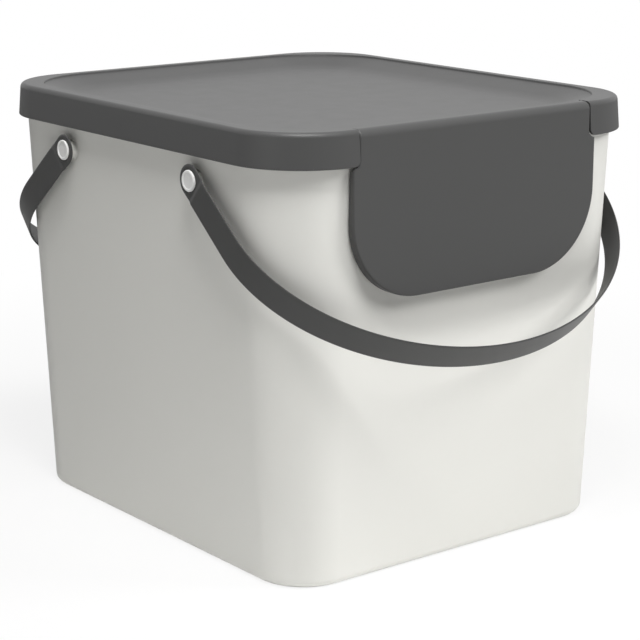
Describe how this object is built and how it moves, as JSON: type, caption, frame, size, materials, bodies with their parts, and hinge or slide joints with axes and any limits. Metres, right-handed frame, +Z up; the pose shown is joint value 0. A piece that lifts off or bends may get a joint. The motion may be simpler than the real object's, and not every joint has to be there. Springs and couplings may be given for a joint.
{
  "type": "trash can",
  "caption": "Stackable kitchen trash can: tapered container, lift-off lid with a front flap hinged at its top edge, and swinging carry handles.",
  "frame": {"origin": "middle of the box round the whole part, at the height of the base it stands on", "axes": "+X to the right across the front, +Y from the flap towards the back, +Z up"},
  "size_m": [0.3622, 0.4882, 0.34],
  "materials": {
    "container": "satin off-white moulded plastic, faint grain",
    "lid": "matt charcoal grey moulded plastic, fine grain",
    "flap": "matt charcoal grey moulded plastic, fine grain",
    "handles": "smooth charcoal grey flexible strap plastic",
    "rivets": "smooth off-white moulded plastic"
  },
  "bodies": {
    "container": {"container": "container", "front_left_rivet": "rivets", "front_right_rivet": "rivets", "rear_left_rivet": "rivets", "rear_right_rivet": "rivets"},
    "lid": {"lid": "lid"},
    "flap": {"flap": "flap"},
    "front_handle": {"front_handle": "handles"},
    "rear_handle": {"rear_handle": "handles"}
  },
  "joints": [
    {"name": "lid_lift", "type": "slide", "parent": "container", "child": "lid", "axis": [0, 0, 1], "range_m": [0, 0.028]},
    {"name": "flap_hinge", "type": "hinge", "parent": "lid", "child": "flap", "pos_m": [0, -0.1895, 0.3362], "axis": [-1, 0, 0], "range_deg": [0, 98]},
    {"name": "front_handle_hinge", "type": "hinge", "parent": "container", "child": "front_handle", "pos_m": [0, -0.0867, 0.2958], "axis": [-1, 0, 0], "range_deg": [0, 150]},
    {"name": "rear_handle_hinge", "type": "hinge", "parent": "container", "child": "rear_handle", "pos_m": [0, 0.0867, 0.2958], "axis": [1, 0, 0], "range_deg": [0, 150]}
  ]
}
